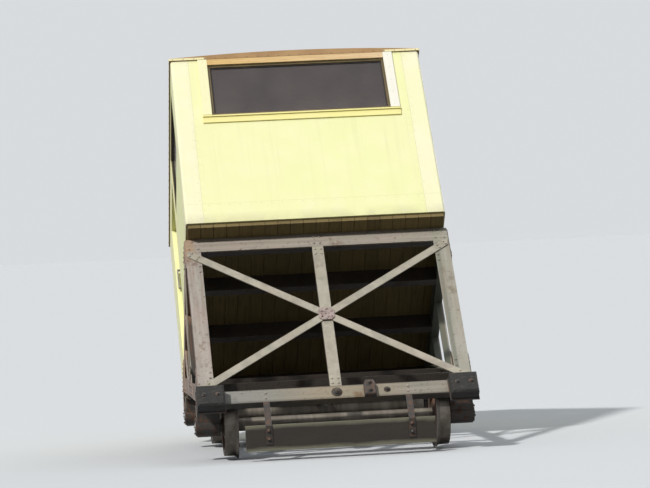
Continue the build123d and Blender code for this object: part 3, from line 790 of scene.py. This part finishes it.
# %% Assign the finishes
FINISHES = {
    wall_paint: ("end_wall_low", "end_wall_high", "side_wall_right", "side_wall_left"),
    corner_paint: ("corner_panels",),
    sill_paint: ("window_sills",),
    trim_paint: ("jamb_strips",),
    tan_board: ("header_strips",),
    roof_canvas: ("roof", "roof_battens"),
    sash_paint: ("window_sashes",),
    window_glass: ("window_panes", "door_glass_right", "door_glass_left"),
    floor_timber: ("floor_planks",),
    bench_wood: ("bench_boards",),
    bench_iron: ("bench_stands",),
    rail_steel: ("door_rails", "door_guides", "door_fittings_right", "door_fittings_left"),
    frame_paint: ("end_posts", "top_chords", "slope_chords", "side_struts", "side_gussets"),
    beam_paint: ("top_beam", "tail_beam"),
    foot_paint: ("foot_beam",),
    brace_paint: ("end_upright", "end_braces", "side_braces"),
    plate_paint: ("brace_plate",),
    shaded_inner_paint: ("cross_beams", "draw_plates"),
    guard_paint: ("guard_plate",),
    dark_iron: ("beam_bracket", "buffer_backs", "axle_boxes", "box_covers", "guard_straps"),
    oily_iron: ("rope_lug",),
    low_wheel_steel: ("wheels_low",),
    high_wheel_steel: ("wheels_high",),
    axle_steel: ("axle_low", "axle_high"),
    black_rubber: ("end_buffers", "box_pads"),
    door_paint: ("door_right", "door_left"),
}
for material, names in FINISHES.items():
    for name in names:
        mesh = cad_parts[name].data
        mesh.materials.clear()
        mesh.materials.append(material)
painted = {name for names in FINISHES.values() for name in names}
print("painted", len(painted), "bare", sorted(set(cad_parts) - painted))

# %% [markdown]
# ## Small hardware
# The solid model leaves out small fasteners, so they are new pieces. Each kind is one piece: all its
# heads go into one mesh, which keeps the object list short. A rivet head is a round dome that is half
# sunk into its plate, so that it stays a closed mesh. It repeats often and has few faces.

# %% Helpers for new pieces
FRONT, BACK, TOP = (0, -1, 0), (0, 1, 0), (0, 0, 1)
ENDS = ((0.0, FRONT), (CABIN_LENGTH, BACK))
SIDES = ((-HALF_CABIN, (-1, 0, 0)), (HALF_CABIN, (1, 0, 0)))


def add_piece(name, bm, material, body="car", smooth=True):
    """Takes a mesh on the drawing into the model, and lets it ride on a body."""
    bmesh.ops.translate(bm, vec=HOME, verts=bm.verts)
    bmesh.ops.recalc_face_normals(bm, faces=bm.faces)
    mesh = bpy.data.meshes.new(name)
    bm.to_mesh(mesh)
    bm.free()
    mesh.materials.append(material)
    mesh.polygons.foreach_set("use_smooth", [smooth] * len(mesh.polygons))
    made = bpy.data.objects.new(name, mesh)
    scene.collection.objects.link(made)
    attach(made, body)
    print(name, len(mesh.polygons), "faces")


def stand(place, facing):
    """The matrix that stands a shape on its place, with its Z along the facing."""
    turn = Vector(facing).normalized().to_track_quat("Z", "Y").to_matrix().to_4x4()
    return Matrix.Translation(place) @ turn


def stamp(bm, shape, places):
    """Adds a copy of a small shape at each place. This is far quicker than making each anew."""
    pattern = bpy.data.meshes.new("pattern")
    shape.to_mesh(pattern)
    shape.free()
    at = Vector()
    for place in places:
        pattern.transform(Matrix.Translation(Vector(place) - at))
        at = Vector(place)
        bm.from_mesh(pattern)
    bpy.data.meshes.remove(pattern)


def domes(bm, places, facing, radius, height, sides=8):
    """A flattened round head at each place, half sunk into the plate under it."""
    head = bmesh.new()
    bmesh.ops.create_uvsphere(
        head, u_segments=sides, v_segments=6, radius=1.0,
        matrix=stand((0, 0, 0), facing) @ Matrix.Diagonal((radius, radius, height, 1.0)),
    )
    stamp(bm, head, places)


def dome_row(bm, start, end, pitch, facing, head):
    """Round heads from start to end, evenly spaced, about a pitch apart."""
    start, end = Vector(start), Vector(end)
    count = max(1, round((end - start).length / pitch))
    domes(bm, [start.lerp(end, k / count) for k in range(count + 1)], facing, *head)


print("ends of the cabin at", [y for y, facing in ENDS])

# %% [markdown]
# ## Rivets of the sheet metal
# Small rivets run along both sides of each corner seam, and one row crosses each wall a hand's span
# above its foot, where the sheets are fixed to the floor frame.

# %% Wall rivets
RIVET = (0.0065, 0.0030)
SEAM_OFFSET, SEAM_FOOT, SEAM_TOP, TRIM_FOOT = 0.021, 0.06, 2.19, 1.42
WALL_PITCH, CORNER_PITCH = 0.105, 0.118


def seam_rivets(bm, inwards, end_top, end_pitch):
    """Upright rows beside each corner seam, so far inwards of it on its own wall."""
    for y, facing in ENDS:
        for x in (inwards - SEAM_X, SEAM_X - inwards):
            dome_row(bm, (x, y, SEAM_FOOT), (x, y, end_top), end_pitch, facing, RIVET)
    for x, facing in SIDES:
        for y in (END_RETURN + inwards, CABIN_LENGTH - END_RETURN - inwards):
            dome_row(bm, (x, y, SEAM_FOOT), (x, y, SEAM_TOP), CORNER_PITCH, facing, RIVET)


bm = bmesh.new()
seam_rivets(bm, SEAM_OFFSET, TRIM_FOOT, WALL_PITCH)
for y, facing in ENDS:
    dome_row(bm, (-1.03, y, BELT_HEIGHT), (1.03, y, BELT_HEIGHT), WALL_PITCH, facing, RIVET)
for x, facing in SIDES:
    dome_row(bm, (x, 0.25, BELT_HEIGHT), (x, 1.45, BELT_HEIGHT), WALL_PITCH, facing, RIVET)
add_piece("wall_rivets", bm, wall_paint)

bm = bmesh.new()
seam_rivets(bm, -SEAM_OFFSET, SEAM_TOP, CORNER_PITCH)
add_piece("corner_rivets", bm, corner_paint)

# %% [markdown]
# ## Screws of the window trim
# The boards round the end windows and the edge of the roof canvas are held by round-headed screws
# and tacks, a hand apart.

# %% Trim screws and tacks
SCREW, TACK, NAIL = (0.007, 0.0035), (0.0055, 0.003), (0.006, 0.003)
STRIP_FACE, JAMB_X, HEADER_Z = 0.012, 0.9525, 2.205

jambs, header = bmesh.new(), bmesh.new()
for y, facing in ENDS:
    face = y + facing[1] * STRIP_FACE
    for x in (-JAMB_X, JAMB_X):
        dome_row(jambs, (x, face, 1.50), (x, face, 2.21), 0.18, facing, SCREW)
    dome_row(header, (-0.86, face, HEADER_Z), (0.86, face, HEADER_Z), 0.19, facing, SCREW)
add_piece("jamb_screws", jambs, trim_paint)
add_piece("header_screws", header, tan_board)

EDGE_X, EDGE_OUT, EDGE_Z, TACK_PITCH = 1.289, 0.014, 2.2632, 0.11
ROOF_RISE, ROOF_EAVE = 0.0548, 2.278
ROOF_RADIUS = (EDGE_X**2 + ROOF_RISE**2) / (2 * ROOF_RISE)
BATTENS, BATTEN_RISE = (0.700, 1.400, 2.100), 0.014


def batten_top(x):
    """The height of the top of a batten on the arched roof at x."""
    return ROOF_EAVE + ROOF_RISE - x * x / (2 * ROOF_RADIUS) + BATTEN_RISE


bm = bmesh.new()
for y, facing in ENDS:
    face = y + facing[1] * EDGE_OUT
    dome_row(bm, (-1.25, face, EDGE_Z), (1.25, face, EDGE_Z), TACK_PITCH, facing, TACK)
for x, facing in SIDES:
    face = x + facing[0] * EDGE_OUT
    dome_row(bm, (face, 0.04, EDGE_Z), (face, 2.76, EDGE_Z), TACK_PITCH, facing, TACK)
for y in BATTENS:
    nails = [Vector((k * 0.1, y, batten_top(k * 0.1))) for k in range(-12, 13)]
    domes(bm, nails, TOP, *NAIL)
add_piece("roof_tacks", bm, dark_iron)

# %% [markdown]
# ## Window seals
# A black rubber seal holds each pane: a flat ring on each side of the glass. Such a ring is one mesh
# face that is inset, loses its middle and is given a thickness. The handle of each door stands on
# two round feet, and each foot has two screws.

# %% Window seals
HALF_PANE, SEAL_BAND, SEAL_THICK = 0.003, 0.011, 0.007
END_PANE, SIDE_PANE, DOOR_PANE = (1.758, 0.658), (0.998, 0.818), (0.620, 0.640)


def seal(bm, middle, facing, wide, high):
    """A flat ring on each face of a pane, whose middle and size are given."""
    for way in (1, -1):
        outwards = Vector(facing) * way
        made = bmesh.ops.create_grid(
            bm, x_segments=1, y_segments=1, size=0.5,
            matrix=stand(middle + outwards * HALF_PANE, outwards)
            @ Matrix.Diagonal((wide, high, 1.0, 1.0)),
        )
        sheet = list({face for vert in made["verts"] for face in vert.link_faces})
        rim = bmesh.ops.inset_region(
            bm, faces=sheet, thickness=SEAL_BAND, use_even_offset=True, use_boundary=True
        )["faces"]
        bmesh.ops.delete(bm, geom=sheet, context="FACES_ONLY")
        bmesh.ops.solidify(bm, geom=rim, thickness=-SEAL_THICK)


bm = bmesh.new()
for y, facing in ENDS:
    seal(bm, Vector((0.0, y - facing[1] * 0.025, 1.815)), facing, *END_PANE)
for side in (-1, 1):
    seal(bm, Vector((side * 1.250, 0.855, 1.735)), (side, 0, 0), *SIDE_PANE)
add_piece("window_seals", bm, black_rubber, smooth=False)

# %% Door seals and the feet of the handles


def discs(bm, places, facing, radius, height, top=1.0, sides=14):
    """A low round or, with six sides, a hexagonal boss at each place, a little sunk."""
    boss = bmesh.new()
    bmesh.ops.create_cone(
        boss, cap_ends=True, segments=sides, radius1=radius, radius2=radius * top,
        depth=height + 0.002,
        matrix=stand((0, 0, 0), facing) @ Matrix.Translation((0, 0, height / 2 - 0.001)),
    )
    stamp(bm, boss, places)


for side, word in ((1, "right"), (-1, "left")):
    facing = (side, 0, 0)
    bm = bmesh.new()
    seal(bm, Vector((side * 1.200, 1.880, 1.500)), facing, *DOOR_PANE)
    add_piece("door_seal_" + word, bm, black_rubber, "sliding_door_" + word, False)

    bm = bmesh.new()
    feet = [Vector((side * 1.218, 2.220, z)) for z in (1.126, 1.374)]
    screws = [foot + Vector((side * 0.004, dy, 0)) for foot in feet for dy in (-0.016, 0.016)]
    discs(bm, feet, facing, 0.021, 0.004, 0.86, 18)
    domes(bm, screws, facing, 0.0035, 0.0018, 6)
    add_piece("handle_feet_" + word, bm, rail_steel, "sliding_door_" + word)

# %% [markdown]
# ## Rivets of the frame
# The channels and flat bars of the wedge are riveted, and a rivet is a large dome. Rivets stand in
# pairs at each end of a bar, in a ring on the cover plate at the crossing, and in rows along the
# side gussets.

# %% Rivets on the downhill face
HEAD = (0.0135, 0.0085)
BAR_FACE, COVER_FACE = FACE_Y - 0.010, FACE_Y - 0.020
BRACE_END_X, BRACE_TOP, BRACE_LOW = 1.215, -0.275, -1.9254
CROSS = Vector((0.0, BAR_FACE, (BRACE_TOP + BRACE_LOW) / 2))


def on_brace(side, up, inwards, across):
    """A place on the end of a brace bar: how far in from its end, and how far off its line."""
    end = Vector((side * BRACE_END_X, BAR_FACE, BRACE_TOP if up else BRACE_LOW))
    line = (CROSS - end).normalized()
    return end + line * inwards + Vector((-line.z, 0.0, line.x)) * across


def face_rivets(bm, distances, heights):
    """A rivet at each distance to both sides of the middle line, at each height."""
    for side in (-1, 1):
        places = [Vector((side * x, FACE_Y, z)) for x in distances for z in heights]
        domes(bm, places, FRONT, *HEAD)


bm = bmesh.new()
for side in (-1, 1):
    for up in (True, False):
        places = [on_brace(side, up, i, a) for i in (-0.035, 0.045) for a in (-0.019, 0.019)]
        domes(bm, places, FRONT, *HEAD)
face_rivets(bm, (0.030,), (-0.250, -0.310, -1.890, -1.950))
add_piece("brace_rivets", bm, brace_paint)

bm = bmesh.new()
for distances, heights in (
    ((1.165, 1.225), (-0.085,)),
    ((1.165, 1.255), (-0.175,)),
    ((1.165,), (-0.40, -0.47, -1.74, -1.81)),
    ((0.030,), (-0.09, -0.17)),
    ((0.670,), (-2.03, -2.09)),
):
    face_rivets(bm, distances, heights)
add_piece("face_rivets", bm, frame_paint)

bm = bmesh.new()
line = (CROSS - Vector((BRACE_END_X, BAR_FACE, BRACE_TOP))).normalized()
arms = [Vector((line.x * a, 0, line.z * b)) for a in (-1, 1) for b in (-1, 1)]
arms += [Vector((0, 0, way)) for way in (-1, 1)]
plate_middle = Vector((0.0, COVER_FACE, CROSS.z))
domes(bm, [plate_middle + arm * 0.056 for arm in arms], FRONT, *HEAD)
add_piece("cover_plate_rivets", bm, plate_paint)

# %% Rivets on the side frames
SIDE_HEAD, STRAP_HEAD = (0.012, 0.0075), (0.013, 0.008)
GUSSET_X, BRACE_X = HALF_FRAME + 0.008, HALF_FRAME + 0.018
CHORD_LOW, CHORD_HIGH = 0.513, 0.663
BRACE_ENDS = Vector((0, 0.235, -0.315)), Vector((0, 1.065, -1.070))


def chord_row(start, end, above):
    """A row along the sloping chord, between two distances uphill."""
    return start, level_of(above, start), end, level_of(above, end), 0.075


over_low, over_middle = level_of(CHORD_HIGH, 0.28), level_of(CHORD_HIGH, 1.13)

# Each row has the distance uphill and the height of its start and of its end, and its pitch.
GUSSET_ROWS = (
    chord_row(0.225, 0.455, CHORD_LOW + 0.030),
    chord_row(0.225, 0.455, CHORD_HIGH - 0.030),
    (0.215, over_low + 0.03, 0.215, over_low + 0.14, 0.055),
    (0.245, -0.092, 0.455, -0.092, 0.07),
    (0.245, -0.185, 0.455, -0.185, 0.07),
    (0.215, -0.250, 0.215, -0.385, 0.065),
    chord_row(1.010, 1.290, CHORD_LOW + 0.045),
    chord_row(1.010, 1.290, CHORD_HIGH - 0.030),
    (1.130, over_middle + 0.07, 1.130, over_middle + 0.17, 0.05),
    (2.010, -0.092, 2.440, -0.092, 0.07),
    (2.010, -0.185, 2.440, -0.185, 0.07),
    chord_row(2.010, 2.220, CHORD_LOW + 0.035),
)
STRUT_ROWS = ((1.150, -0.245, 1.150, -0.385, 0.07), (1.690, -0.245, 1.690, -0.345, 0.05))

bm = bmesh.new()
for side in (-1, 1):
    out = (side, 0, 0)
    for x, rows in ((GUSSET_X, GUSSET_ROWS), (HALF_FRAME, STRUT_ROWS)):
        for low_y, low_z, high_y, high_z, pitch in rows:
            start, end = (side * x, low_y, low_z), (side * x, high_y, high_z)
            dome_row(bm, start, end, pitch, out, SIDE_HEAD)
    for end, other in (BRACE_ENDS, BRACE_ENDS[::-1]):
        line = (other - end).normalized()
        start = end + Vector((side * BRACE_X, 0, 0))
        domes(bm, [start + line * d for d in (0.045, 0.115)], out, *STRAP_HEAD)
add_piece("side_rivets", bm, frame_paint)

bm = bmesh.new()
tail_y = corners_of("tail_beam")[1].y
for x in (-1.23, -1.16, -0.62, -0.56, 0.56, 0.62, 1.16, 1.23):
    domes(bm, [Vector((x, tail_y, z)) for z in (-0.080, -0.130)], BACK, *HEAD)
add_piece("tail_rivets", bm, beam_paint)

# %% [markdown]
# ## Bolts of the foot beam
# The foot beam carries a large round bolt in a ring at its middle, the iron bracket to its right and
# a smaller dark bolt beyond that. The rubber buffers are held by bolts in steel cups, and two bolts
# hold the guard plate to each of its straps.

# %% Foot beam, bracket and buffers


def bolts(bm, places, facing, radius, washer=1.55):
    """A hexagon head on a washer, with the round end of its shank on top."""
    away = Vector(facing).normalized()
    thick, head = radius * 0.30, radius * 0.75
    discs(bm, places, facing, radius * washer, thick, 0.94)
    discs(bm, [p + away * thick for p in places], facing, radius, head, 0.93, 6)
    domes(bm, [p + away * (thick + head) for p in places], facing, radius * 0.5, radius * 0.25)


beam_middle = (FOOT_TOP + FOOT_LOW) / 2
bracket_y = corners_of("beam_bracket")[0].y
buffer_y = corners_of("end_buffers")[0].y

bm = bmesh.new()
discs(bm, [Vector((0.0, FACE_Y, beam_middle))], FRONT, 0.052, 0.008, 0.95, 28)
discs(bm, [Vector((0.0, FACE_Y - 0.008, beam_middle))], FRONT, 0.036, 0.012, 0.90, 6)
domes(bm, [Vector((0.0, FACE_Y - 0.020, beam_middle))], FRONT, 0.018, 0.010, 12)
bolts(bm, [Vector((0.475, FACE_Y, beam_middle))], FRONT, 0.021)
bolts(bm, [Vector((0.310, bracket_y, z)) for z in (-2.105, -2.015)], FRONT, 0.016)
add_piece("beam_bolts", bm, dark_iron)

bm = bmesh.new()
cups = [Vector((x, buffer_y, -2.114)) for x in (-1.255, -1.125, 1.125, 1.255)]
discs(bm, cups, FRONT, 0.026, 0.005, 0.86, 18)
discs(bm, [cup + Vector((0, -0.005, 0)) for cup in cups], FRONT, 0.0145, 0.007, 0.92, 6)
add_piece("buffer_bolts", bm, oily_iron)

bm = bmesh.new()
for x in (-0.670, 0.670):
    bolts(bm, [on_slope(0.520, above, x) for above in (0.165, 0.245)], -UPHILL, 0.014)
add_piece("guard_bolts", bm, oily_iron)

# %% [markdown]
# ## Axle boxes
# Each box cover is held by four bolts and has an oil cap in its middle. Steel shims divide the rubber
# pad over the box, and two studs with nuts come down through the cap of the box.

# %% Axle box fittings
COVER_X, STUD_X, PAD_X = HALF_FRAME + 0.034, 1.262, 1.250
PAD_THICK, CAP_THICK, PAD_SIZE = 0.030, 0.018, (0.083, 0.226)
PAD_FOOT = CHORD_LOW - PAD_THICK - TREAD_RADIUS

bolted, caps, shims = bmesh.new(), bmesh.new(), bmesh.new()
for centre in (LOW_AXLE, HIGH_AXLE):
    for side in (-1, 1):
        out = Vector((side, 0, 0))
        cover, cap, pad = [
            Vector((side * x, centre.y, centre.z)) for x in (COVER_X, STUD_X, PAD_X)
        ]
        for angle in [math.radians(22.5 + 90 * k) for k in range(4)]:
            spot = cover + (UPHILL * math.cos(angle) + SQUARE * math.sin(angle)) * 0.068
            bolts(bolted, [spot], out, 0.0105)
        for way in (-1, 1):
            under_cap = cap + UPHILL * (way * 0.112) + SQUARE * (PAD_FOOT - CAP_THICK)
            bolts(bolted, [under_cap], -SQUARE, 0.0125, 1.35)
        discs(caps, [cover], out, 0.030, 0.007, 0.92, 20)
        discs(caps, [cover + out * 0.007], out, 0.015, 0.009, 0.8, 6)
        for level in (0.008, 0.020):
            bmesh.ops.create_cube(
                shims, size=1.0, matrix=stand(pad + SQUARE * (PAD_FOOT + level), SQUARE)
                @ Matrix.Diagonal((*PAD_SIZE, 0.003, 1.0)),
            )
add_piece("axle_box_bolts", bolted, oily_iron)
add_piece("oil_caps", caps, rail_steel)
add_piece("pad_shims", shims, shaded_inner_paint, smooth=False)

# %% [markdown]
# ## Rope gear
# The eye in the lug is bushed: a worn bright ring stands out on each of its faces. Rivets hold the
# draw plates to the lug. Short angles with bolts hang them under the cross members. Such an angle is
# one face in the shape of an L, which is drawn out along the slope.

# %% Eye rings and draw rivets
LUG_FACE, DRAW_FACE = 0.030, 0.046
EYE_ALONG = 3.4696
EYE = on_slope(EYE_ALONG, 0.140)
EYE_RADIUS, RING_BAND, RING_THICK = 0.0335, 0.014, 0.006

bm = bmesh.new()
for side in (-1, 1):
    out = Vector((side, 0, 0))
    bmesh.ops.create_circle(
        bm, segments=36, radius=EYE_RADIUS, matrix=stand(EYE + out * LUG_FACE, out)
    )
made = bmesh.ops.extrude_edge_only(bm, edges=bm.edges[:])["geom"]
for vert in [g for g in made if isinstance(g, bmesh.types.BMVert)]:
    away = Vector((0, vert.co.y - EYE.y, vert.co.z - EYE.z))
    vert.co += away.normalized() * RING_BAND
bmesh.ops.recalc_face_normals(bm, faces=bm.faces)
bmesh.ops.solidify(bm, geom=bm.faces[:], thickness=RING_THICK)
add_piece("eye_rings", bm, axle_steel)

LUG_START = EYE_ALONG - 0.225
bm = bmesh.new()
for side in (-1, 1):
    x = side * DRAW_FACE
    for above in (CHORD_LOW - 0.084, CHORD_LOW - 0.026):
        start, end = on_slope(LUG_START, above, x), on_slope(3.500, above, x)
        dome_row(bm, start, end, 0.075, (side, 0, 0), SIDE_HEAD)
add_piece("draw_rivets", bm, shaded_inner_paint)

# %% Draw angles
CROSS_MEMBERS = (1.4004, 2.4496)
LEG, LEG_THICK, ANGLE_LENGTH = 0.058, 0.008, 0.062
# The corners of the L, counted outwards and down from its own corner.
L_SHAPE = (
    (0, 0), (LEG, 0), (LEG, LEG_THICK), (LEG_THICK, LEG_THICK), (LEG_THICK, LEG), (0, LEG),
)

angles, bm = bmesh.new(), bmesh.new()
for along in CROSS_MEMBERS:
    for side in (-1, 1):
        out = Vector((side, 0, 0))
        corner = on_slope(along + 0.014, CHORD_LOW, side * DRAW_FACE)
        outline = [corner + out * across - SQUARE * down for across, down in L_SHAPE]
        face = angles.faces.new([angles.verts.new(point) for point in outline])
        drawn = bmesh.ops.extrude_face_region(angles, geom=[face])["geom"]
        ends = [g for g in drawn if isinstance(g, bmesh.types.BMVert)]
        bmesh.ops.translate(angles, vec=UPHILL * ANGLE_LENGTH, verts=ends)
        upright = corner + out * 0.036 - SQUARE * LEG_THICK + UPHILL * (ANGLE_LENGTH / 2)
        bolts(bm, [upright], -SQUARE, 0.010)
        level = corner + out * LEG_THICK - SQUARE * 0.036
        bolts(bm, [level + UPHILL * d for d in (0.015, 0.047)], out, 0.008)
add_piece("draw_angles", angles, shaded_inner_paint, smooth=False)
add_piece("draw_bolts", bm, oily_iron)

# %% [markdown]
# ## Screws and nails indoors
# Plain steel screws hold the bench slats to their stands and to the wall, two at each crossing.
# Two nails hold each plank wherever it crosses a steel beam.

# %% Bench screws and floor nails
BENCH_SCREW, FLOOR_NAIL = (0.0065, 0.0022), (0.0048, 0.0016, 6)
SEAT_LEVEL, SEAT_ROWS = 0.458, (0.129, 0.259, 0.389)
BACK_FACE, BACK_LEVELS = 0.078, (0.679, 0.839)
STANDS = (-1.080, 0.0, 1.080)

bm = bmesh.new()
for end, facing in ENDS:
    inwards = -Vector(facing)
    for x in STANDS:
        for apart in (-0.034, 0.034):
            seat = [Vector((x, end + inwards.y * y + apart, SEAT_LEVEL)) for y in SEAT_ROWS]
            back = [Vector((x, end + inwards.y * BACK_FACE, z + apart)) for z in BACK_LEVELS]
            domes(bm, seat, TOP, *BENCH_SCREW)
            domes(bm, back, inwards, *BENCH_SCREW)
add_piece("bench_screws", bm, rail_steel)

FIRST_PLANK, PLANK_STEP = -1.1941, 0.1257
BEAM_ROWS = (0.215, 0.800, 1.520, 2.345, 2.690)

bm = bmesh.new()
for middle_x in [FIRST_PLANK + plank * PLANK_STEP for plank in range(PLANKS)]:
    nails = [Vector((middle_x + apart, y, 0.0)) for apart in (-0.038, 0.038) for y in BEAM_ROWS]
    domes(bm, nails, TOP, *FLOOR_NAIL)
add_piece("floor_nails", bm, dark_iron)
